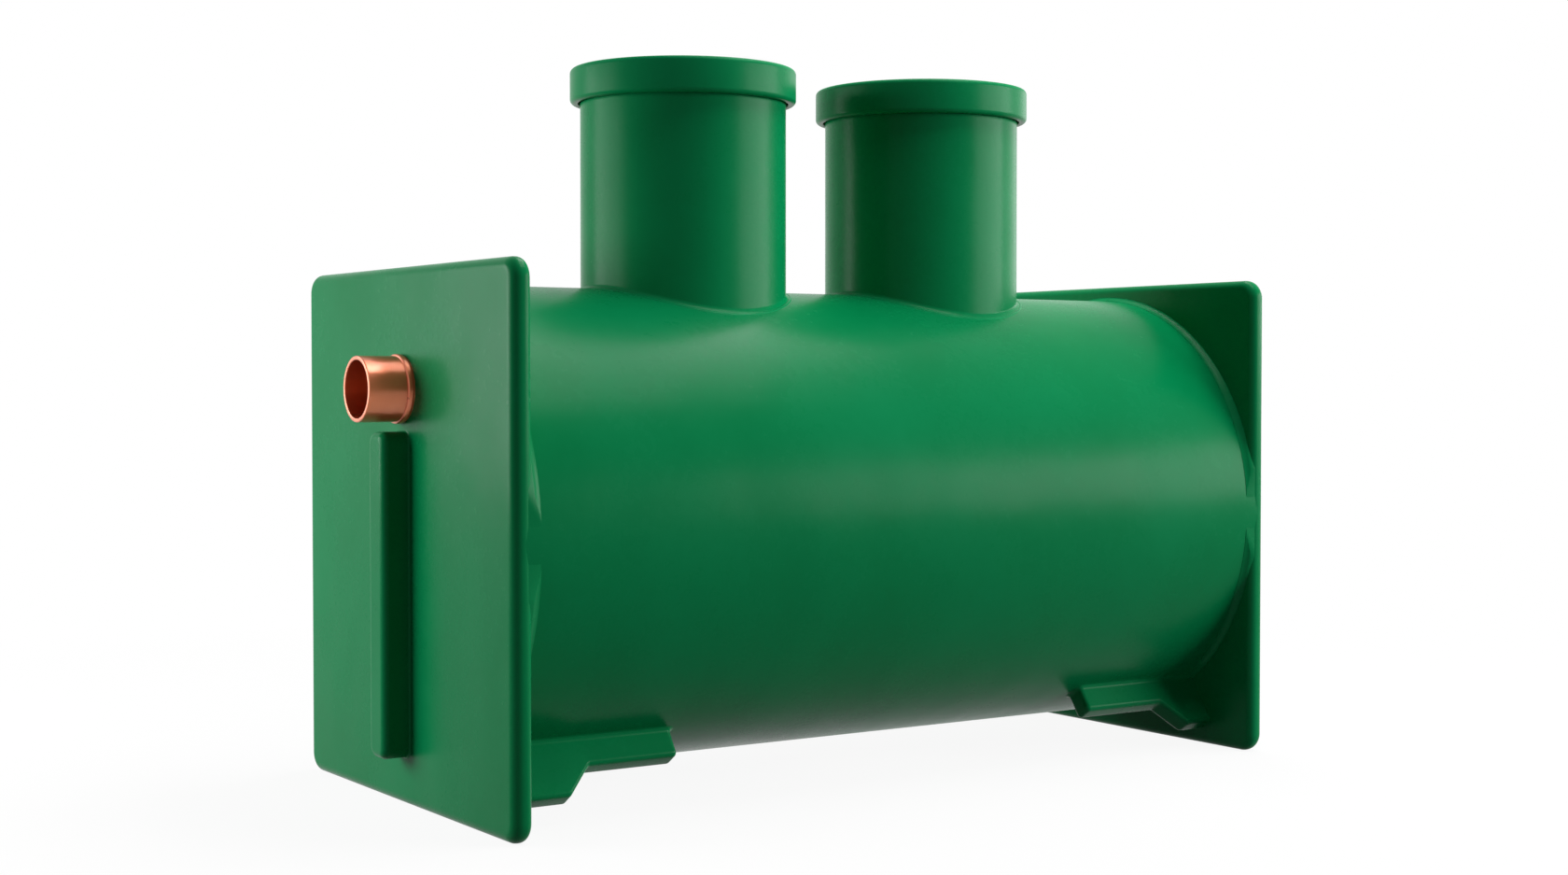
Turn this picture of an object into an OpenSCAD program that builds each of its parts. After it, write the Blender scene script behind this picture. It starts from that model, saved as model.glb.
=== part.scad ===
// Septic tank for burial: a lying barrel of moulded plastic, closed by two
// square end plates. Two access shafts rise from it under lift-off lids, a sewer
// pipe passes through each end plate, and four fins under the barrel key it into
// its bedding. Millimetres. +X runs along the barrel from the inlet end to the
// outlet end and +Z is up. The origin is on the ground, under the tank's middle.

/* [Barrel] */
// Outside diameter of the barrel
barrel_d = 1200; // [1150:5:1300]
// Thickness of the barrel's wall
barrel_wall = 10; // [8:1:14]

/* [End plates] */
// Length of the tank over the outer faces of its end plates
tank_len = 2320; // [2260:10:2500]
// How far an end plate stands out on each side of the barrel
plate_beside = 0; // [0:1:30]
// How far an end plate reaches below the barrel
plate_below = 68; // [60:1:90]
// How far an end plate reaches above the barrel
plate_above = 42; // [30:1:80]
// Thickness of an end plate
plate_t = 50; // [40:1:60]
// Radius of an end plate's four corners
plate_corner_r = 50; // [40:1:70]
// Radius of the rounded edge all round an end plate's outer face
plate_edge_r = 26; // [10:1:30]

/* [Access shafts] */
// Place of the shaft nearer the inlet, along the barrel
inlet_shaft_x = -363; // [-420:1:-320]
// Place of the shaft nearer the outlet, along the barrel
outlet_shaft_x = 414; // [330:1:440]
// Outside diameter of a shaft
shaft_d = 537; // [500:1:540]
// Thickness of a shaft's wall
shaft_wall = 10; // [8:1:12]
// Height of a shaft's rim above the barrel's crown
shaft_rise = 555; // [400:1:700]

/* [Lids] */
// Clearance between a shaft and the skirt round it
lid_gap = 8.5; // [6:0.5:12]
// Height of a lid from the foot of its skirt to its top
lid_h = 90; // [60:1:110]
// Thickness of a lid's top, and of its skirt
lid_wall = 18; // [12:1:18]
// Radius of the rounded rim round a lid's top
lid_edge_r = 12; // [6:1:14]

/* [Sewer pipes] */
// Outside diameter of a pipe
pipe_d = 160; // [150:5:170]
// Thickness of a pipe's wall
pipe_wall = 10; // [4:1:12]
// Height of a pipe's axis above the barrel's axis
pipe_rise = 345; // [320:1:380]
// Length of a pipe outside its end plate
pipe_out = 111; // [80:1:160]
// Width of the round collar where a pipe leaves its end plate
collar_len = 19; // [14:1:24]
// Height of the collar over the pipe
collar_rise = 5; // [3:0.5:8]

/* [End ribs] */
// Width of the upright rib under a pipe
rib_w = 90; // [70:1:110]
// Depth of the rib out from its end plate
rib_out = 70; // [50:1:80]
// Height of the rib's foot above the foot of its end plate
rib_foot_rise = 120; // [90:1:160]
// Gap between the rib's head and the collar round the pipe
rib_head_gap = 18; // [14:1:60]

/* [Fins] */
// Slope of the fins below the horizontal, in degrees
fin_slope = 55.6; // [52:0.2:58]
// Thickness of a fin
fin_t = 57; // [44:1:62]
// Length of the two fins at the inlet end
inlet_fin_len = 485; // [400:1:500]
// Length of the two fins at the outlet end
outlet_fin_len = 415; // [380:1:480]
// Length of the deep heel of the fins at the inlet end
inlet_heel_len = 178; // [80:1:190]
// Length of the deep heel of the fins at the outlet end
outlet_heel_len = 82; // [60:1:160]
// Depth of a fin away from its end plate
fin_depth = 70; // [60:1:80]
// Depth of a fin where it meets its end plate
fin_heel_depth = 144; // [130:1:150]

/* [Hidden] */
$fn = 128;

barrel_r = barrel_d / 2;
barrel_axis_z = plate_below + barrel_r;
plate_w = barrel_d + 2 * plate_beside;
plate_h = plate_below + barrel_d + plate_above;
shaft_r = shaft_d / 2;
shaft_top_z = barrel_axis_z + barrel_r + shaft_rise;
lid_r = shaft_r + lid_gap + lid_wall;
pipe_r = pipe_d / 2;
pipe_z = barrel_axis_z + pipe_rise;
rib_high_z = pipe_z - pipe_r - collar_rise - rib_head_gap;
end_x = tank_len / 2;           // outer face of an end plate
inside_x = end_x - plate_t;     // inner face of an end plate

crown_sweep = 60;               // the topmost strip of the barrel's wall
strip_sweep = (360 - crown_sweep) / 6;
strip_gap = 0.1;                // hairline between neighbouring strips
crown_split_x = (inlet_shaft_x + outlet_shaft_x) / 2;

collar_edge_r = 4.5;
collar_groove = 1;              // depth of the groove that the collar sits in
rib_edge_r = 14;
rib_flare = 6;                  // how far the rib's foot spreads on the plate
skirt_edge_r = 8;
fin_corner_r = 18;
fin_slant_len = 68;             // length of a fin's slanting stretch
fin_edge_r = 14;                // round edges along a fin's rim
fin_root_r = 12;                // hollow corners where a fin leaves the barrel
fin_gap = 0.1;                  // hairline between a fin and the barrel

weld_leg = 18;                  // weld between the barrel and an end plate
weld_lip = 1.5;                 // thickness of a weld at its thin edges
weld_margin = 3;                // keeps an end weld inside its plate's sides
neck_leg = 14;                  // weld between the barrel and a shaft
neck_gap = 0.25;                // keeps the neck weld's flats off the round walls
neck_sections = 96;
arc_steps = 6;                  // straight steps in a quarter round

eps = 1;                        // how far a cutter runs past what it cuts

moulded_green = [0.04, 0.47, 0.31];
lid_green = [0.05, 0.50, 0.33];
copper_brown = [0.62, 0.36, 0.25];

// ---- Shared shapes ----

// Points on an arc, both ends included
function arc(centre, r, from_a, to_a) = [
  for (i = [0 : arc_steps])
    let (a = from_a + (to_a - from_a) * i / arc_steps)
    centre + r * [cos(a), sin(a)]
];

// Draws its children's XY plane as the YZ plane, extruded towards +X
module along_x(from_x = 0, z = 0) {
  translate([from_x, 0, z])
    rotate([90, 0, 90])
      children();
}

// Parts of the ends are drawn at the outlet end and mirrored to the inlet end
module at_inlet_end() {
  mirror([1, 0, 0])
    children();
}

// Parts of the front are drawn on the front and mirrored to the back
module at_back() {
  mirror([0, 1, 0])
    children();
}

module solid_barrel(r, half_len) {
  along_x(-half_len, barrel_axis_z)
    cylinder(r = r, h = 2 * half_len);
}

// ---- Barrel ----

// A strip of the barrel's wall. Angles turn from +Y towards +Z.
module barrel_strip(start_a, sweep, from_x = -inside_x, to_x = inside_x) {
  gap_a = strip_gap / barrel_r * 180 / PI;
  color(moulded_green)
    along_x(from_x, barrel_axis_z)
      rotate_extrude(angle = sweep - gap_a, start = start_a + gap_a / 2)
        translate([barrel_r - barrel_wall, 0])
          square([barrel_wall, to_x - from_x]);
}

// Half of the topmost strip, with the hole under its shaft
module barrel_crown(from_x, to_x, shaft_x) {
  difference() {
    barrel_strip(90 - crown_sweep / 2, crown_sweep, from_x, to_x);
    translate([shaft_x, 0, barrel_axis_z])
      cylinder(r = shaft_r - shaft_wall, h = barrel_r + eps);
  }
}

module barrel_crown_inlet() {
  barrel_crown(-inside_x, crown_split_x - strip_gap / 2, inlet_shaft_x);
}

module barrel_crown_outlet() {
  barrel_crown(crown_split_x + strip_gap / 2, inside_x, outlet_shaft_x);
}

// The front has three strips, counted down from the crown
module barrel_front(place) {
  barrel_strip(90 + crown_sweep / 2 + place * strip_sweep, strip_sweep);
}

module barrel_front_upper() {
  barrel_front(0);
}

module barrel_front_middle() {
  barrel_front(1);
}

module barrel_front_lower() {
  barrel_front(2);
}

module barrel_back_upper() {
  at_back()
    barrel_front(0);
}

module barrel_back_middle() {
  at_back()
    barrel_front(1);
}

module barrel_back_lower() {
  at_back()
    barrel_front(2);
}

// ---- End plates ----

// Section through a plate's rim: across its edge, and up through its thickness
module plate_rim_section() {
  flat = plate_corner_r - plate_edge_r;
  polygon(concat(
    [[0, 0], [plate_corner_r, 0]],
    arc([flat, plate_t - plate_edge_r], plate_edge_r, 0, 90),
    [[0, plate_t]]
  ));
}

// A slab with round corners and a round upper edge, lying on the XY plane
module plate_slab() {
  half_w = plate_w / 2 - plate_corner_r;
  half_h = plate_h / 2 - plate_corner_r;
  corners = [[1, 1], [-1, 1], [-1, -1], [1, -1]];
  edge_lengths = [2 * half_h, 2 * half_w, 2 * half_h, 2 * half_w];
  translate([-half_w, -half_h, 0])
    cube([2 * half_w, 2 * half_h, plate_t]);
  for (i = [0 : 3])
    translate([corners[i].x * half_w, corners[i].y * half_h, 0])
      rotate([0, 0, 90 * i]) {
        rotate_extrude(angle = 90)
          plate_rim_section();
        rotate([90, 0, 0])
          linear_extrude(edge_lengths[i])
            plate_rim_section();
      }
}

module end_plate() {
  color(moulded_green)
    difference() {
      along_x(inside_x, plate_h / 2)
        plate_slab();
      along_x(inside_x - eps, pipe_z)
        cylinder(r = pipe_r, h = plate_t + 2 * eps);
    }
}

module inlet_end_plate() {
  at_inlet_end()
    end_plate();
}

module outlet_end_plate() {
  end_plate();
}

// A hollow-faced weld in the corner between the barrel and an end plate: one run
// over the barrel and one under it, each ending near the plate's sides
module end_weld(start_a) {
  reach = weld_leg + weld_lip;
  width = plate_w - 2 * weld_margin;
  color(moulded_green)
    intersection() {
      translate([inside_x, 0, barrel_axis_z])
        rotate([0, -90, 0])
          rotate_extrude(angle = 180, start = start_a)
            translate([barrel_r, 0])
              polygon(concat(
                [[0, 0], [reach, 0]],
                arc([reach, reach], weld_leg, 270, 180),
                [[0, reach]]
              ));
      translate([inside_x - reach - eps, -width / 2, 0])
        cube([reach + 2 * eps, width, plate_h]);
    }
}

module upper_weld() {
  end_weld(-90);
}

module lower_weld() {
  end_weld(90);
}

module inlet_weld_upper() {
  at_inlet_end()
    upper_weld();
}

module inlet_weld_lower() {
  at_inlet_end()
    lower_weld();
}

module outlet_weld_upper() {
  upper_weld();
}

module outlet_weld_lower() {
  lower_weld();
}

// ---- End ribs ----

// Outline of the rib seen along one of its sides: it stands on the plate, from
// one end to the other, with a small flare at its foot and round outer corners
module rib_outline(from_y, to_y) {
  polygon(concat(
    arc([rib_flare, from_y - rib_flare], rib_flare, 180, 90),
    arc([rib_out - rib_edge_r, from_y + rib_edge_r], rib_edge_r, -90, 0),
    arc([rib_out - rib_edge_r, to_y - rib_edge_r], rib_edge_r, 0, 90),
    arc([rib_flare, to_y + rib_flare], rib_flare, -90, -180)
  ));
}

// The rib's two outlines, across and along, cut through one another
module rib() {
  color(moulded_green)
    translate([end_x, 0, 0])
      intersection() {
        translate([0, 0, rib_foot_rise - 2 * rib_flare])
          linear_extrude(rib_high_z - rib_foot_rise + 4 * rib_flare)
            rib_outline(-rib_w / 2, rib_w / 2);
        rotate([90, 0, 0])
          linear_extrude(rib_w + 4 * rib_flare, center = true)
            rib_outline(rib_foot_rise, rib_high_z);
      }
}

module inlet_rib() {
  at_inlet_end()
    rib();
}

module outlet_rib() {
  rib();
}

// ---- Sewer pipes ----

// A turned stub of pipe. It lines the hole in the plate, has a groove for the
// collar just outside it, and runs on plain so that a coupling slides over it.
module sewer_pipe() {
  groove_r = pipe_r - collar_groove;
  groove_end = plate_t + collar_len;
  mouth = plate_t + pipe_out;
  color(copper_brown)
    along_x(inside_x, pipe_z)
      rotate_extrude()
        polygon([
          [pipe_r - pipe_wall, 0], [pipe_r, 0], [pipe_r, plate_t],
          [groove_r, plate_t], [groove_r, groove_end], [pipe_r, groove_end],
          [pipe_r, mouth], [pipe_r - pipe_wall, mouth]
        ]);
}

// The round-edged collar that seals a pipe against its end plate
module pipe_collar() {
  groove_r = pipe_r - collar_groove;
  collar_r = pipe_r + collar_rise;
  flat_r = collar_r - collar_edge_r;
  color(copper_brown)
    along_x(end_x, pipe_z)
      rotate_extrude()
        polygon(concat(
          [[groove_r, 0]],
          arc([flat_r, collar_edge_r], collar_edge_r, -90, 0),
          arc([flat_r, collar_len - collar_edge_r], collar_edge_r, 0, 90),
          [[groove_r, collar_len]]
        ));
}

module inlet_pipe() {
  at_inlet_end()
    sewer_pipe();
}

module outlet_pipe() {
  sewer_pipe();
}

module inlet_pipe_collar() {
  at_inlet_end()
    pipe_collar();
}

module outlet_pipe_collar() {
  pipe_collar();
}

// ---- Access shafts ----

// A tube cut to sit on the barrel
module shaft(x) {
  color(moulded_green)
    difference() {
      translate([x, 0, barrel_axis_z])
        cylinder(r = shaft_r, h = shaft_top_z - barrel_axis_z);
      translate([x, 0, barrel_axis_z - eps])
        cylinder(r = shaft_r - shaft_wall, h = shaft_top_z - barrel_axis_z + 2 * eps);
      solid_barrel(barrel_r, inside_x);
    }
}

module inlet_shaft() {
  shaft(inlet_shaft_x);
}

module outlet_shaft() {
  shaft(outlet_shaft_x);
}

// Height of the barrel's surface at a distance and a bearing from a shaft's axis
function barrel_surface_z(distance, bearing) =
  barrel_axis_z + sqrt(barrel_r ^ 2 - (distance * sin(bearing)) ^ 2);

// Section of the neck weld as [distance out from the shaft, height over the
// barrel]: up the shaft, down the hollow face, and back along the barrel
neck_section = concat(
  [[0, 0]],
  [for (p = arc([1, 1], 1, 180, 270)) neck_leg * p + [neck_gap, weld_lip]],
  [[neck_leg + neck_gap, 0]]
);

// One station of the neck weld, laid on the saddle where shaft meets barrel
function neck_station(bearing) = [
  for (p = neck_section)
    let (distance = shaft_r + neck_gap + p.x)
    [
      distance * cos(bearing),
      distance * sin(bearing),
      barrel_surface_z(distance, bearing) + neck_gap + p.y
    ]
];

// The weld's section swept right round the saddle as one closed skin
module neck_weld(x) {
  side = len(neck_section);
  count = neck_sections * side;
  points = [
    for (i = [0 : neck_sections - 1])
      each neck_station(360 * i / neck_sections)
  ];
  skin = [
    for (i = [0 : neck_sections - 1], j = [0 : side - 1])
      let (here = i * side, next = (here + side) % count, k = (j + 1) % side)
      each [
        [here + j, here + k, next + k],
        [here + j, next + k, next + j]
      ]
  ];
  color(moulded_green)
    translate([x, 0, 0])
      polyhedron(points, skin);
}

module inlet_shaft_weld() {
  neck_weld(inlet_shaft_x);
}

module outlet_shaft_weld() {
  neck_weld(outlet_shaft_x);
}

// ---- Lids ----

// A turned cap: its top rests on the shaft's rim and its skirt hangs round it
module lid(x) {
  skirt_h = lid_h - lid_wall;
  color(lid_green)
    translate([x, 0, shaft_top_z - skirt_h])
      rotate_extrude()
        polygon(concat(
          [[lid_r - lid_wall, 0]],
          arc([lid_r - skirt_edge_r, skirt_edge_r], skirt_edge_r, -90, 0),
          arc([lid_r - lid_edge_r, lid_h - lid_edge_r], lid_edge_r, 0, 90),
          [[0, lid_h], [0, skirt_h], [lid_r - lid_wall, skirt_h]]
        ));
}

module inlet_lid() {
  lid(inlet_shaft_x);
}

module outlet_lid() {
  lid(outlet_shaft_x);
}

// ---- Fins ----

// Section across a fin that reaches out to a depth: hollow corners at its root,
// flat flanks, and round edges at its rim
module fin_section(depth) {
  flank = fin_t / 2;
  root = barrel_r + fin_root_r;
  rim = barrel_r + depth - fin_edge_r;
  polygon(concat(
    [[flank + fin_root_r, barrel_r / 2]],
    arc([flank + fin_root_r, root], fin_root_r, 270, 180),
    arc([flank - fin_edge_r, rim], fin_edge_r, 0, 90),
    arc([fin_edge_r - flank, rim], fin_edge_r, 90, 180),
    arc([-flank - fin_root_r, root], fin_root_r, 0, -90),
    [[-flank - fin_root_r, barrel_r / 2]]
  ));
}

// A bar with a fin's section, run along the barrel and cut to an outline that
// is drawn as [distance along the barrel, distance from its axis]
module fin_bar(depth, length) {
  width = fin_t + 2 * fin_root_r;
  intersection() {
    translate([inside_x - length, 0, 0])
      rotate([90, 0, 90])
        linear_extrude(length)
          fin_section(depth);
    rotate([90, 0, 0])
      linear_extrude(width + 2 * eps, center = true)
        children();
  }
}

// The shallow stretch of a fin, with a round corner at its tail
module fin_tail_outline(fin_len) {
  tail_x = inside_x - fin_len;
  low = barrel_r + fin_depth;
  polygon(concat(
    [[tail_x, barrel_r / 2]],
    arc([tail_x + fin_corner_r, low - fin_corner_r], fin_corner_r, 180, 90),
    [[inside_x, low], [inside_x, barrel_r / 2]]
  ));
}

// The deep stretch of a fin against its end plate, with a slanting edge
module fin_heel_outline(heel_len) {
  heel_x = inside_x - heel_len;
  slant_x = heel_x - fin_slant_len;
  slant_a = atan2(fin_heel_depth - fin_depth, fin_slant_len);
  low = barrel_r + fin_depth - fin_edge_r;
  deep = barrel_r + fin_heel_depth;
  round_x = heel_x + fin_corner_r * tan(slant_a / 2);
  polygon(concat(
    [[slant_x, barrel_r / 2], [slant_x, low]],
    arc([round_x, deep - fin_corner_r], fin_corner_r, 90 + slant_a, 90),
    [[inside_x, deep], [inside_x, barrel_r / 2]]
  ));
}

// A fin on the front of the barrel, notched where it crosses the end weld
module front_fin(fin_len, heel_len) {
  color(moulded_green)
    difference() {
      translate([0, 0, barrel_axis_z])
        rotate([90 + fin_slope, 0, 0]) {
          fin_bar(fin_depth, fin_len)
            fin_tail_outline(fin_len);
          fin_bar(fin_heel_depth, heel_len + fin_slant_len)
            fin_heel_outline(heel_len);
        }
      solid_barrel(barrel_r + fin_gap, inside_x + eps);
      lower_weld();
    }
}

module inlet_fin_front() {
  at_inlet_end()
    front_fin(inlet_fin_len, inlet_heel_len);
}

module inlet_fin_back() {
  at_inlet_end()
    at_back()
      front_fin(inlet_fin_len, inlet_heel_len);
}

module outlet_fin_front() {
  front_fin(outlet_fin_len, outlet_heel_len);
}

module outlet_fin_back() {
  at_back()
    front_fin(outlet_fin_len, outlet_heel_len);
}

// ---- Drawing ----

barrel_crown_inlet();
barrel_crown_outlet();
barrel_front_upper();
barrel_front_middle();
barrel_front_lower();
barrel_back_upper();
barrel_back_middle();
barrel_back_lower();
inlet_end_plate();
outlet_end_plate();
inlet_weld_upper();
inlet_weld_lower();
outlet_weld_upper();
outlet_weld_lower();
inlet_rib();
outlet_rib();
inlet_pipe();
outlet_pipe();
inlet_pipe_collar();
outlet_pipe_collar();
inlet_shaft();
outlet_shaft();
inlet_shaft_weld();
outlet_shaft_weld();
inlet_lid();
outlet_lid();
inlet_fin_front();
inlet_fin_back();
outlet_fin_front();
outlet_fin_back();
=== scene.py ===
import math

import bmesh
import bpy
from mathutils import Matrix, Vector


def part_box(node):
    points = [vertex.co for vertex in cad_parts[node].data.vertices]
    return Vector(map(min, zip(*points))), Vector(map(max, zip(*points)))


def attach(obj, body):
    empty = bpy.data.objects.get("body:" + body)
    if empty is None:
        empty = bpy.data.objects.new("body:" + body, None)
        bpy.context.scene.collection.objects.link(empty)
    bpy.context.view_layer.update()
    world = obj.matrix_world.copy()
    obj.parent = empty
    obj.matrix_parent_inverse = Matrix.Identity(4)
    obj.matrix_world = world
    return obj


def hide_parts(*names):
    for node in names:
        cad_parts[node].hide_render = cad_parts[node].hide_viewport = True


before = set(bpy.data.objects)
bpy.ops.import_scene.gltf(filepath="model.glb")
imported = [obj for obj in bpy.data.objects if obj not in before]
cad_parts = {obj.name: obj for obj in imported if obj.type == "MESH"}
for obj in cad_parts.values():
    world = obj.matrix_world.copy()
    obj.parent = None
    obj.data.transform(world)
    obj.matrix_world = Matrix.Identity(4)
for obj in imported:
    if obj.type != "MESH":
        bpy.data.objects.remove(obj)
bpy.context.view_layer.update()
scene = bpy.context.scene

# ---- Sizes, read from the frame ----

crown_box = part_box("barrel_crown_inlet")
keel_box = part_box("barrel_front_lower")
barrel_r = (crown_box[1].z - keel_box[0].z) / 2
barrel_z = (crown_box[1].z + keel_box[0].z) / 2
barrel_wall = 0.010

ENDS = {"inlet": -1, "outlet": 1}
FACES = {"front": -1, "back": 1}


# ---- Making meshes ----

def section(corners, steps):
    """A flat face in the XZ plane whose corners, given as (x, z, radius), are rounded."""
    bm = bmesh.new()
    verts = [bm.verts.new((x, 0, z)) for x, z, _ in corners]
    bm.faces.new(verts)
    for i, vert in enumerate(verts):
        radius = corners[i][2]
        if radius:
            here = Vector(corners[i][:2])
            back = Vector(corners[i - 1][:2]) - here
            on = Vector(corners[(i + 1) % len(corners)][:2]) - here
            reach = radius / math.tan(back.angle(on) / 2)
            bmesh.ops.bevel(bm, geom=[vert], offset=reach, offset_type="OFFSET", segments=steps,
                            profile=0.5, affect="VERTICES", clamp_overlap=False, material=-1)
    return bm


def whole(bm):
    """All of a mesh, for an operator that takes any of it."""
    return bm.verts[:] + bm.edges[:] + bm.faces[:]


def turned(corners, around, steps=6):
    """A section spun right round the Z axis. An edge of the section on the axis is left out."""
    bm = section(corners, steps)
    bmesh.ops.delete(bm, geom=bm.faces[:], context="FACES_ONLY")
    on_axis = [e for e in bm.edges if all(abs(v.co.x) < 1e-7 for v in e.verts)]
    bmesh.ops.delete(bm, geom=on_axis, context="EDGES_FACES")
    bmesh.ops.spin(bm, geom=bm.verts[:] + bm.edges[:], cent=(0, 0, 0), axis=(0, 0, 1), dvec=(0, 0, 0),
                   angle=math.tau, steps=around, use_merge=True, use_normal_flip=False,
                   use_duplicate=False)
    bmesh.ops.remove_doubles(bm, verts=bm.verts[:], dist=1e-6)
    bmesh.ops.recalc_face_normals(bm, faces=bm.faces[:])
    return bm


def rounded_plan(length, width, corner_r, steps):
    """A rectangle in the XY plane, round its middle, with round corners. It is its own top."""
    bm = bmesh.new()
    corners = [(length / 2, width / 2), (-length / 2, width / 2),
               (-length / 2, -width / 2), (length / 2, -width / 2)]
    verts = [bm.verts.new((x, y, 0)) for x, y in corners]
    bm.faces.new(verts)
    bmesh.ops.bevel(bm, geom=verts, offset=corner_r, offset_type="OFFSET", segments=steps,
                    profile=0.5, affect="VERTICES", clamp_overlap=False, material=-1)
    for face in bm.faces:
        face.tag = True
    return bm


def lift(bm, up):
    """Raises the top of a shape straight up, with walls under it. The top's faces are tagged."""
    top = [f for f in bm.faces if f.tag]
    made = bmesh.ops.extrude_face_region(bm, geom=top)
    raised = [g for g in made["geom"] if isinstance(g, bmesh.types.BMVert)]
    bmesh.ops.delete(bm, geom=top, context="FACES_KEEP_BOUNDARY")
    for face in bm.faces:
        face.tag = False
    for face in [g for g in made["geom"] if isinstance(g, bmesh.types.BMFace)]:
        face.tag = True
    bmesh.ops.translate(bm, verts=raised, vec=(0, 0, up))


def draw_in(bm, inward, up):
    """Raises the top of a shape and draws it in on all sides."""
    top = [f for f in bm.faces if f.tag]
    made = bmesh.ops.inset_region(bm, faces=top, use_boundary=True, use_even_offset=True,
                                  thickness=inward, depth=up)
    for face in made["faces"]:
        face.tag = False


def quarter_steps(radius, steps):
    """The steps along and away of a quarter round that starts level."""
    turns = [math.pi / 2 * k / steps for k in range(steps + 1)]
    return [(radius * (math.sin(b) - math.sin(a)), radius * (math.cos(a) - math.cos(b)))
            for a, b in zip(turns, turns[1:])]


def hollow_foot(bm, radius, steps):
    """Draws the top in along a hollow quarter round, up to a straight wall."""
    for along, away in quarter_steps(radius, steps):
        draw_in(bm, along, away)


def round_top(bm, radius, steps):
    """Draws the top in along a round edge, from a straight wall to level."""
    for along, away in quarter_steps(radius, steps):
        draw_in(bm, away, along)


def closed(bm):
    """Closes what is still open and turns every face outwards."""
    bmesh.ops.remove_doubles(bm, verts=bm.verts[:], dist=1e-6)
    rim = [e for e in bm.edges if e.is_boundary]
    if rim:
        bmesh.ops.holes_fill(bm, edges=rim, sides=0)
    bmesh.ops.recalc_face_normals(bm, faces=bm.faces[:])
    return bm


def carve(bm, cutters):
    """Cuts closed shapes out of a closed shape."""
    mesh = bpy.data.meshes.new("carved")
    bm.to_mesh(mesh)
    bm.free()
    carved = bpy.data.objects.new("carved", mesh)
    scene.collection.objects.link(carved)
    tools = []
    for cutter in cutters:
        tool_mesh = bpy.data.meshes.new("cutter")
        cutter.to_mesh(tool_mesh)
        cutter.free()
        tool = bpy.data.objects.new("cutter", tool_mesh)
        scene.collection.objects.link(tool)
        tools.append(tool)
        cut = carved.modifiers.new("cut", "BOOLEAN")
        cut.operation = "DIFFERENCE"
        cut.solver = "EXACT"
        cut.object = tool
    bpy.context.view_layer.update()
    done = bmesh.new()
    done.from_object(carved, bpy.context.evaluated_depsgraph_get())
    for thing in [carved] + tools:
        thing_mesh = thing.data
        bpy.data.objects.remove(thing)
        bpy.data.meshes.remove(thing_mesh)
    return done


SHARP_ANGLE = math.radians(40)


def piece(name, bm, finish, nodes, body="tank"):
    """Makes a finished piece of a bmesh, which stands for CAD nodes and rides on their body."""
    mesh = bpy.data.meshes.new(name)
    bm.to_mesh(mesh)
    bm.free()
    mesh.shade_smooth()
    mesh.set_sharp_from_angle(angle=SHARP_ANGLE)
    made = bpy.data.objects.new(name, mesh)
    scene.collection.objects.link(made)
    mesh.materials.append(finish)
    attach(made, body)
    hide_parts(*nodes)
    return made


# ---- Materials ----

class Signal:
    """A number that varies over a surface. Sums and products on it add Math nodes."""

    def __init__(self, finish, socket):
        self.finish = finish
        self.socket = socket

    def _math(self, operation, first, second):
        return self.finish.node("ShaderNodeMath", {0: first, 1: second}, operation=operation)

    def __add__(self, other):
        return self._math("ADD", self, other)

    __radd__ = __add__

    def __sub__(self, other):
        return self._math("SUBTRACT", self, other)

    def __rsub__(self, other):
        return self._math("SUBTRACT", other, self)

    def __mul__(self, other):
        return self._math("MULTIPLY", self, other)

    __rmul__ = __mul__


class Finish:
    """A material in the making, with one Principled shader."""

    def __init__(self, name):
        self.material = bpy.data.materials.new(name)
        self.material.use_nodes = True
        self.tree = self.material.node_tree
        self.shader = self.tree.nodes["Principled BSDF"]
        self.place = self.node("ShaderNodeTexCoord", {}, out="Object")

    def node(self, kind, inputs, out=0, **settings):
        """Adds a node: its settings first, then the values or links of its sockets."""
        made = self.tree.nodes.new(kind)
        for key, value in settings.items():
            setattr(made, key, value)
        for key, value in inputs.items():
            self.feed(made.inputs[key], value)
        return Signal(self, made.outputs[out])

    def feed(self, socket, value):
        """Links a signal to a socket, or sets the socket to a value."""
        if isinstance(value, Signal):
            self.tree.links.new(value.socket, socket)
        else:
            socket.default_value = value

    def noise(self, scale, detail=2.0, stretch=(1, 1, 1)):
        """Noise of a scale in waves per metre, centred on 0.5."""
        place = self.node("ShaderNodeMapping", {"Vector": self.place, "Scale": stretch})
        return self.node("ShaderNodeTexNoise", {"Vector": place, "Scale": scale, "Detail": detail},
                         out="Fac")

    def tone(self, amount, low, high):
        """A colour between two colours."""
        return self.node("ShaderNodeMix", {0: amount, 6: low, 7: high}, out=2, data_type="RGBA")

    def bump(self, height, distance, under=None):
        """Relief of a depth in metres, on top of other relief."""
        inputs = {"Height": height, "Distance": distance, "Strength": 1.0}
        if under:
            inputs["Normal"] = under
        return self.node("ShaderNodeBump", inputs, out="Normal")

    def set(self, **sockets):
        """Feeds the shader's own sockets, by their names."""
        for key, value in sockets.items():
            self.feed(self.shader.inputs[key.replace("_", " ")], value)


def clamp(signal):
    """A signal held between 0 and 1."""
    return signal.finish.node("ShaderNodeClamp", {"Value": signal, "Min": 0, "Max": 1})


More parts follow.
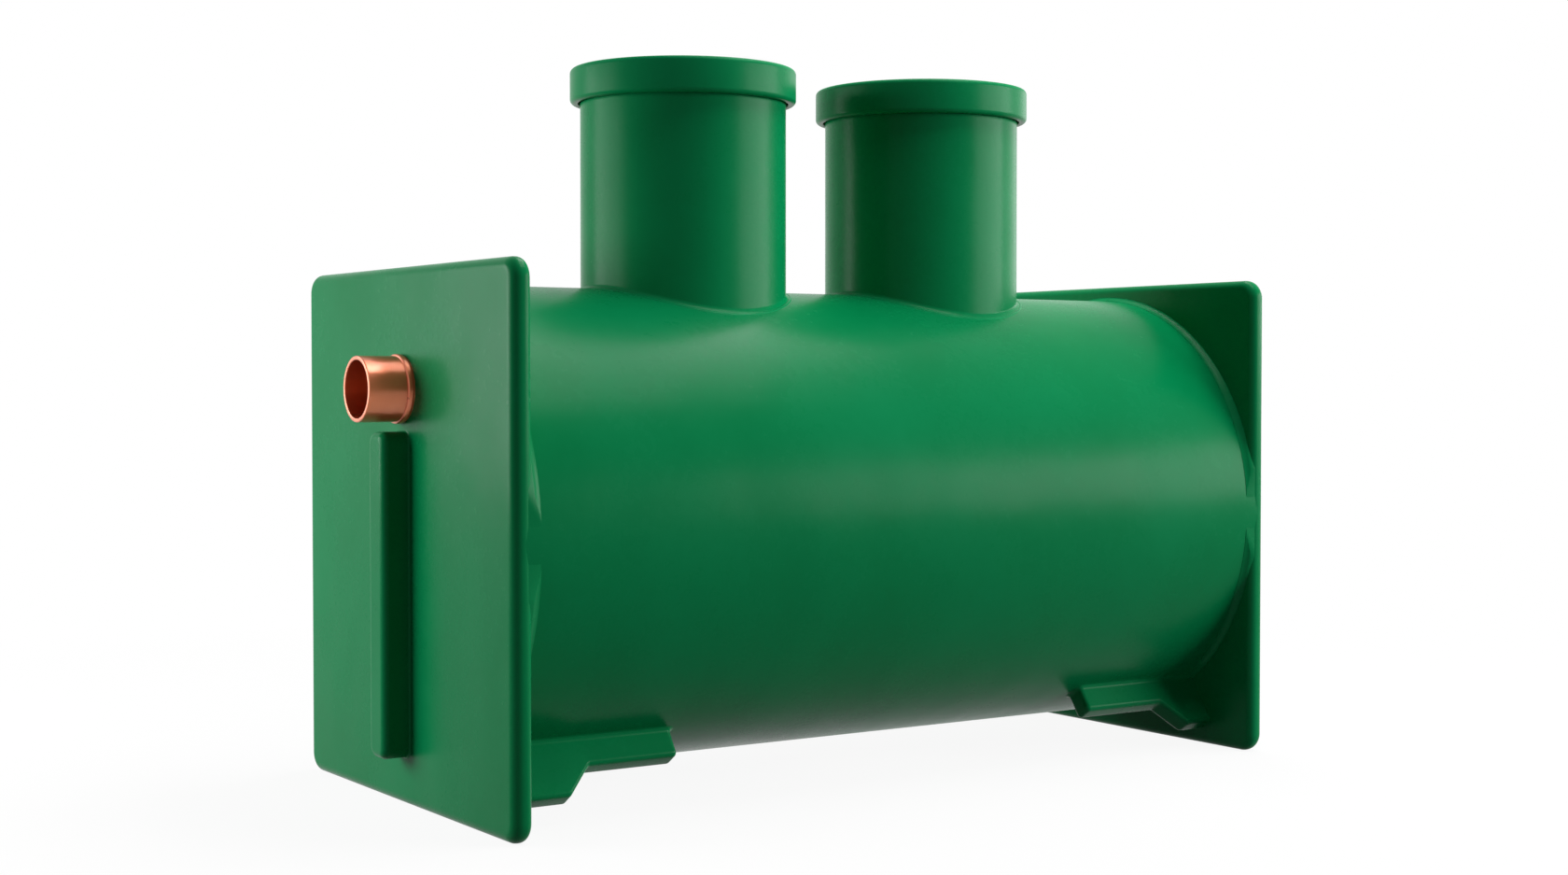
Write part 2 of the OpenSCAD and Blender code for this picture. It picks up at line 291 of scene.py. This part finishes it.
def moulded_plastic(name, deep, bright, rough=0.27, dull_above=None):
    """Satin polymer: nearly even colour, a soft uneven gloss, faint waves and a fine skin.

    The weather has dulled what lies above a height, where one is given.
    """
    finish = Finish(name)
    clouds = finish.noise(2.2, detail=3)
    mottle = finish.noise(38, detail=3)
    finish.set(Base_Color=finish.tone(clamp(clouds * 1.4 + mottle * 0.3 - 0.35), deep, bright))
    gloss = rough + (clouds - 0.5) * 0.16 + (mottle - 0.5) * 0.08
    if dull_above:
        height = finish.node("ShaderNodeSeparateXYZ", {0: finish.place}, out="Z")
        gloss = gloss + clamp((height - dull_above) * 100) * 0.35
    finish.set(Roughness=gloss)
    waves = finish.bump(finish.noise(4.0, detail=1), 0.004)
    skin = finish.bump(finish.noise(260, detail=2), 0.00012, under=waves)
    finish.set(Normal=skin)
    finish.shader.inputs["Specular IOR Level"].default_value = 0.043
    return finish.material


def copper_pipe(name):
    """Polished copper-brown pipe, a little worn and clouded."""
    finish = Finish(name)
    clouds = finish.noise(9, detail=3)
    streaks = finish.noise(30, detail=2, stretch=(0.15, 1, 1))
    finish.set(Base_Color=finish.tone(clamp(clouds * 1.2 + streaks * 0.5 - 0.35),
                                      (0.46, 0.105, 0.036, 1), (0.60, 0.165, 0.070, 1)))
    finish.set(Roughness=0.30 + (clouds - 0.5) * 0.14 + (streaks - 0.5) * 0.08)
    finish.set(Metallic=clamp(0.62 + (clouds - 0.5) * 0.2))
    finish.set(Normal=finish.bump(finish.noise(55, detail=2), 0.00025))
    finish.shader.inputs["Coat Weight"].default_value = 0.6
    finish.shader.inputs["Coat Roughness"].default_value = 0.16
    finish.shader.inputs["Coat Tint"].default_value = (1.0, 0.86, 0.78, 1)
    return finish.material


moulded_green = moulded_plastic("moulded_green", (0.0, 0.175, 0.051, 1), (0.002, 0.215, 0.072, 1))
lid_green = moulded_plastic("lid_green", (0.0, 0.180, 0.054, 1), (0.003, 0.222, 0.076, 1),
                            rough=0.28, dull_above=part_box("inlet_lid")[1].z - 0.010)
# The neck bead's green is lighter than the barrel's green: a painted highlight along the bead, not a
# colour of its own.
painted_highlight_green = moulded_plastic("painted_highlight_green", (0.001, 0.200, 0.062, 1), (0.003, 0.245, 0.086, 1),
                             rough=0.30)
copper_brown = copper_pipe("copper_brown")


# ---- Barrel ----

def make_barrel():
    sunk_in_plate = 0.020
    beside_hole = 0.030
    hole_inset = 0.007
    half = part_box("outlet_end_plate")[0].x + sunk_in_plate
    bm = turned([(barrel_r, -half, 0), (barrel_r, half, 0),
                 (barrel_r - barrel_wall, half, 0), (barrel_r - barrel_wall, -half, 0)], around=256)
    bmesh.ops.rotate(bm, verts=bm.verts[:], cent=(0, 0, 0), matrix=Matrix.Rotation(math.pi / 2, 3, "Y"))
    bmesh.ops.translate(bm, verts=bm.verts[:], vec=(0, 0, barrel_z))
    cutters = []
    for end in ENDS:
        low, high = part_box(f"{end}_shaft")
        for x in (low.x - beside_hole, high.x + beside_hole):
            bmesh.ops.bisect_plane(bm, geom=whole(bm), dist=1e-6, plane_co=(x, 0, 0),
                                   plane_no=(1, 0, 0))
        hole_r = (high.x - low.x) / 2 - hole_inset
        cutter = turned([(0, barrel_z, 0), (hole_r, barrel_z, 0), (hole_r, high.z, 0),
                         (0, high.z, 0)], around=96)
        bmesh.ops.translate(cutter, verts=cutter.verts[:], vec=((low.x + high.x) / 2, 0, 0))
        cutters.append(cutter)
    nodes = [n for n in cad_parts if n.startswith("barrel_")]
    piece("barrel_shell", carve(bm, cutters), moulded_green, nodes)


# ---- Access shafts, with the neck that joins each to the barrel ----

def make_shaft(end):
    """The tube flares into the barrel, and a fine bead runs round its foot; the bead's lighter green is
    a painted highlight.

    Both are made on level ground, and then their foot is bent onto the barrel.
    """
    low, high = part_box(f"{end}_shaft")
    shaft_r = (high.x - low.x) / 2
    wall = 0.010
    neck_leg = 0.012
    bead_in, bead_out, bead_top = 0.0030, 0.0025, 0.0020
    bent_below = 0.050
    rise = high.z - (barrel_z + barrel_r)
    foot_r = shaft_r + neck_leg
    tube = turned([(shaft_r - wall, -barrel_wall, 0), (foot_r + 0.002, -0.004, 0),
                   (foot_r + 0.001, 0.0004, 0), (shaft_r, 0.0012, neck_leg),
                   (shaft_r, rise, 0.003), (shaft_r - wall, rise, 0.003)], around=192, steps=8)
    bead = turned([(foot_r - bead_in, -0.003, 0), (foot_r + bead_out, -0.003, 0),
                   (foot_r + bead_out, bead_top, 0.0026), (foot_r - bead_in, bead_top, 0.0026)],
                  around=192)
    for bm in (tube, bead):
        for vert in bm.verts:
            if vert.co.z < bent_below:
                vert.co.z += barrel_z + math.sqrt(barrel_r ** 2 - vert.co.y ** 2)
            else:
                vert.co.z += barrel_z + barrel_r
        bmesh.ops.translate(bm, verts=bm.verts[:], vec=((low.x + high.x) / 2, 0, 0))
    piece(f"{end}_shaft_tube", tube, moulded_green, [f"{end}_shaft"])
    # The bead gets the lighter green, a painted highlight.
    piece(f"{end}_neck_weld", bead, painted_highlight_green, [f"{end}_shaft_weld"])


# ---- Lids ----

def make_lid(end):
    low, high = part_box(f"{end}_lid")
    lid_r = (high.x - low.x) / 2
    wall = 0.021
    lid_h = high.z - low.z
    bm = turned([(lid_r - wall, 0, 0.004), (lid_r, 0, 0.012), (lid_r, lid_h, 0.012), (0, lid_h, 0),
                 (0, lid_h - wall, 0), (lid_r - wall, lid_h - wall, 0.006)], around=192, steps=8)
    bmesh.ops.translate(bm, verts=bm.verts[:], vec=((low.x + high.x) / 2, 0, low.z))
    piece(f"{end}_lid_cap", bm, lid_green, [f"{end}_lid"], body=f"{end}_lid")


# ---- Pipes and collars ----

def along_x(bm, start_x, z, side):
    """Turns a shape made along +Z so that it runs out from start_x, towards side: 1 or -1."""
    bmesh.ops.rotate(bm, verts=bm.verts[:], cent=(0, 0, 0),
                     matrix=Matrix.Rotation(side * math.pi / 2, 3, "Y"))
    bmesh.ops.translate(bm, verts=bm.verts[:], vec=(start_x, 0, z))
    return bm


pipes = bpy.data.collections.new("pipes")


def make_pipe(end, side):
    low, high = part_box(f"{end}_pipe")
    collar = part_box(f"{end}_pipe_collar")
    wall = 0.010
    past_solid = 0.006
    pipe_r = (high.z - low.z) / 2
    length = high.x - low.x + past_solid
    pipe_z = (high.z + low.z) / 2
    root_x = low.x if side > 0 else high.x
    bore_r = pipe_r - wall
    bm = turned([(bore_r, 0, 0), (pipe_r, 0, 0), (pipe_r, length, 0.0025), (bore_r, length, 0.0025)],
                around=160)
    stub = piece(f"{end}_pipe_stub", along_x(bm, root_x, pipe_z, side), copper_brown,
                 [f"{end}_pipe"])
    collar_r = (collar[1].z - collar[0].z) / 2
    collar_len = collar[1].x - collar[0].x
    foot_x = collar[0].x if side > 0 else collar[1].x
    bm = turned([(pipe_r - 0.001, -0.001, 0), (pipe_r + 0.0012, -0.001, 0), (pipe_r + 0.0012, 0.001, 0),
                 (collar_r, 0.0065, 0.006), (collar_r, collar_len, 0.0045),
                 (pipe_r - 0.001, collar_len, 0)], around=160, steps=7)
    bead = piece(f"{end}_pipe_bead", along_x(bm, foot_x, pipe_z, side), copper_brown,
                 [f"{end}_pipe_collar"])
    pipes.objects.link(stub)
    pipes.objects.link(bead)


# ---- End plates, with their ribs and welds ----

def make_plate(end, side):
    low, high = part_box(f"{end}_end_plate")
    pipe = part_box(f"{end}_pipe")
    corner_r, outer_edge_r, inner_edge_r = 0.050, 0.026, 0.020
    thick = high.x - low.x
    bm = rounded_plan(high.z - low.z, high.y - low.y, corner_r, steps=12)
    lift(bm, thick - outer_edge_r)
    round_top(bm, outer_edge_r, steps=10)
    draw_in(bm, 0.004, 0.0)
    closed(bm)
    under = [e for e in bm.edges if all(abs(v.co.z) < 1e-6 for v in e.verts)]
    bmesh.ops.bevel(bm, geom=under, offset=inner_edge_r, offset_type="OFFSET", segments=8,
                    profile=0.5, affect="EDGES", clamp_overlap=False, material=-1)
    bmesh.ops.recalc_face_normals(bm, faces=bm.faces[:])
    inner_x = low.x if side > 0 else high.x
    along_x(bm, inner_x, (low.z + high.z) / 2, side)
    hole_r = (pipe[1].z - pipe[0].z) / 2 - 0.0005
    cutter = turned([(0, -0.1, 0), (hole_r, -0.1, 0), (hole_r, 0.2, 0), (0, 0.2, 0)], around=96)
    along_x(cutter, inner_x, (pipe[0].z + pipe[1].z) / 2, side)
    piece(f"{end}_end_panel", carve(bm, [cutter]), moulded_green, [f"{end}_end_plate"])


def make_rib(end, side):
    low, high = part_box(f"{end}_rib")
    flare = 0.006
    edge_r = 0.019
    plan_corner_r = edge_r + flare + 0.010
    out = high.x - low.x
    bm = rounded_plan(high.z - low.z, high.y - low.y, plan_corner_r, steps=10)
    hollow_foot(bm, flare, steps=4)
    lift(bm, out - flare - edge_r)
    round_top(bm, edge_r, steps=10)
    draw_in(bm, 0.003, 0.0)
    closed(bm)
    foot_x = low.x if side > 0 else high.x
    along_x(bm, foot_x, (low.z + high.z) / 2, side)
    piece(f"{end}_end_rib", bm, moulded_green, [f"{end}_rib"])


def make_end_weld(end, side):
    """The weld tapers along the barrel, and goes back under the plate's round inner edge."""
    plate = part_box(f"{end}_end_plate")
    up, along, lip = 0.011, 0.020, 0.0008
    back = -0.030
    inside_plate = 0.0015
    bm = turned([(barrel_r - 0.004, back, 0), (barrel_r + up, back, 0), (barrel_r + up, lip, 0),
                 (barrel_r + up * 0.35, along * 0.55, 0.040), (barrel_r + lip, along, 0),
                 (barrel_r - 0.004, along, 0)], around=256, steps=8)
    inner_x = plate[0].x if side > 0 else plate[1].x
    along_x(bm, inner_x, barrel_z, -side)
    half = plate[1].y - inside_plate
    for y in (-half, half):
        bmesh.ops.bisect_plane(bm, geom=whole(bm), dist=1e-6, plane_co=(0, y, 0),
                               plane_no=(0, math.copysign(1, y), 0), clear_outer=True)
    piece(f"{end}_plate_weld", closed(bm), moulded_green,
          [f"{end}_weld_upper", f"{end}_weld_lower"])


# ---- Fins ----

FIN_SLOPE = math.radians(55.6)
FIN_T = 0.057
FIN_DEPTH = 0.072
HEEL_DEPTH = 0.144
SLANT_LEN = 0.068
FIN_ROOT_R = 0.012
FIN_RIM_R = 0.0125
BEND_OFFSETS = [0.005 * k / 4 for k in range(-4, 5)]
FIN_LENGTHS = {"inlet": (0.485, 0.178), "outlet": (0.415, 0.082)}  # whole fin, heel


def heel_drop(along, heel_len):
    """Extra depth of a fin at a distance from its end plate, with softened bends."""
    shares = [min(max((heel_len + SLANT_LEN - along + offset) / SLANT_LEN, 0), 1)
              for offset in BEND_OFFSETS]
    return (HEEL_DEPTH - FIN_DEPTH) * sum(shares) / len(shares)


def make_fin(end, face):
    """A fin made lying down, with its length along X, then seated on the barrel's flank."""
    side, out_y = ENDS[end], FACES[face]
    fin_len, heel_len = FIN_LENGTHS[end]
    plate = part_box(f"{end}_end_plate")
    inner_x = plate[0].x if side > 0 else plate[1].x
    buried, sunk, past_solid = 0.034, 0.006, 0.006
    length = fin_len + past_solid + FIN_ROOT_R + buried
    plan_corner_r = FIN_ROOT_R + FIN_RIM_R + 0.0004
    bm = rounded_plan(length, FIN_T + 2 * FIN_ROOT_R, plan_corner_r, steps=8)
    bmesh.ops.translate(bm, verts=bm.verts[:], vec=(length / 2 - buried, 0, -sunk))
    lift(bm, sunk)
    hollow_foot(bm, FIN_ROOT_R, steps=6)
    lift(bm, FIN_DEPTH - FIN_ROOT_R - FIN_RIM_R)
    round_top(bm, FIN_RIM_R, steps=7)
    closed(bm)
    for bend in (heel_len, heel_len + SLANT_LEN):
        for offset in BEND_OFFSETS:
            bmesh.ops.bisect_plane(bm, geom=whole(bm), dist=1e-6, plane_co=(bend + offset, 0, 0),
                                   plane_no=(1, 0, 0))
    for vert in bm.verts:
        if vert.co.z > FIN_ROOT_R + 0.004:
            vert.co.z += heel_drop(vert.co.x, heel_len)
        else:
            vert.co.z -= vert.co.y ** 2 / (2 * barrel_r)
    bmesh.ops.translate(bm, verts=bm.verts[:], vec=(0, 0, barrel_r))
    down, out = math.sin(FIN_SLOPE), math.cos(FIN_SLOPE)
    bmesh.ops.transform(bm, verts=bm.verts[:], matrix=Matrix((
        (-side, 0, 0, inner_x),
        (0, -out_y * down, out_y * out, 0),
        (0, -out, -down, barrel_z),
        (0, 0, 0, 1))))
    bmesh.ops.recalc_face_normals(bm, faces=bm.faces[:])
    piece(f"{end}_{face}_fin", bm, moulded_green, [f"{end}_fin_{face}"])


make_barrel()
for end, side in ENDS.items():
    make_shaft(end)
    make_lid(end)
    make_pipe(end, side)
    make_plate(end, side)
    make_rib(end, side)
    make_end_weld(end, side)
for face in FACES:
    for end in ENDS:
        make_fin(end, face)


# ---- Camera ----

CAMERA_PLACE = (-3.3571, -4.9898, 1.0380)
CAMERA_PITCH = math.radians(-1.52)
CAMERA_HEADING = math.radians(-33.56)
camera_data = bpy.data.cameras.new("camera")
camera_data.sensor_width = 36
camera_data.lens = 50.876
camera = bpy.data.objects.new("camera", camera_data)
scene.collection.objects.link(camera)
camera.location = CAMERA_PLACE
camera.rotation_euler = (math.pi / 2 + CAMERA_PITCH, 0, CAMERA_HEADING)
scene.camera = camera
scene.view_settings.view_transform = "Standard"


# ---- Lights, floor and surroundings ----

def softbox(name, place, aim, width, height, watts):
    """A white lamp of a size in metres, turned towards a place."""
    data = bpy.data.lights.new(name, "AREA")
    data.shape = "RECTANGLE"
    data.size = width
    data.size_y = height
    data.energy = watts
    lamp = bpy.data.objects.new(name, data)
    scene.collection.objects.link(lamp)
    lamp.location = place
    lamp.rotation_euler = (Vector(aim) - Vector(place)).to_track_quat("-Z", "Y").to_euler()
    return lamp


MIDDLE = (0, 0, 0.9)


def direction(turn_deg, rise_deg, distance):
    """A place round the tank: 0 is towards the camera and positive turns to its right."""
    angle = math.atan2(CAMERA_PLACE[1], CAMERA_PLACE[0]) + math.radians(turn_deg)
    rise = math.radians(rise_deg)
    flat = distance * math.cos(rise)
    return (flat * math.cos(angle), flat * math.sin(angle), MIDDLE[2] + distance * math.sin(rise))


softbox("left_softbox", direction(-85.5, 9, 5.0), MIDDLE, 3.6, 2.2, 205)
softbox("right_softbox", direction(88, 11, 9.0), MIDDLE, 7.2, 3.0, 750)
softbox("rear_softbox", direction(134, 8, 7.0), MIDDLE, 4.4, 2.4, 45)
softbox("top_softbox", (1.5, -0.25, 5.6), (0.2, 0, 1.1), 5.6, 2.3, 330)

# Two small lamps light the pipes alone, as a glossy pipe would else mirror only its end plate.
pipe_mouth = (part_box("inlet_pipe")[0].x, 0, 1.01)
pipe_lamps = [softbox("pipe_key", (-0.38, -0.20, 2.95), pipe_mouth, 1.5, 0.8, 11),
              softbox("pipe_fill", (-0.78, -0.74, 0.19), pipe_mouth, 1.0, 1.8, 4.4)]
for lamp in pipe_lamps:
    lamp.data.cycles.use_multiple_importance_sampling = False
    lamp.light_linking.receiver_collection = pipes
    lamp.light_linking.blocker_collection = pipes


def looked_at(finish):
    """1 where the camera, a reflection or a see-through ray looks, else 0."""
    looks = [finish.node("ShaderNodeLightPath", {}, out=kind)
             for kind in ("Is Camera Ray", "Is Glossy Ray", "Is Transmission Ray")]
    return clamp(looks[0] + looks[1] + looks[2])


def floor_white(name):
    """A pale floor that keeps the tank's shadow near it and runs out into white."""
    finish = Finish(name)
    seen = looked_at(finish)
    distance = finish.node("ShaderNodeVectorMath", {0: finish.place}, out="Value",
                           operation="LENGTH")
    far = clamp(distance * 0.4 - 0.6)
    finish.set(Base_Color=finish.tone(seen, (0.12, 0.12, 0.12, 1), (0.80, 0.80, 0.80, 1)),
               Roughness=0.9)
    white = finish.node("ShaderNodeEmission", {"Color": (1, 1, 1, 1), "Strength": 1.0})
    shaded = Signal(finish, finish.shader.outputs[0])
    mixed = finish.node("ShaderNodeMixShader", {0: seen * (far * 0.08 + 0.92), 1: shaded, 2: white})
    finish.feed(finish.tree.nodes["Material Output"].inputs["Surface"], mixed)
    return finish.material


floor_mesh = bpy.data.meshes.new("floor")
bm = bmesh.new()
bmesh.ops.create_grid(bm, x_segments=1, y_segments=1, size=30)
bm.to_mesh(floor_mesh)
bm.free()
floor_mesh.materials.append(floor_white("floor"))
floor = bpy.data.objects.new("floor", floor_mesh)
scene.collection.objects.link(floor)


class Surroundings(Finish):
    """The world, with the same way of adding nodes as a finish."""

    def __init__(self, world):
        world.use_nodes = True
        self.tree = world.node_tree


scene.world = bpy.data.worlds.new("studio")
studio = Surroundings(scene.world)
background = studio.tree.nodes["Background"]
studio.feed(background.inputs["Color"], (1, 1, 1, 1))
studio.feed(background.inputs["Strength"], looked_at(studio) * 0.95 + 0.05)
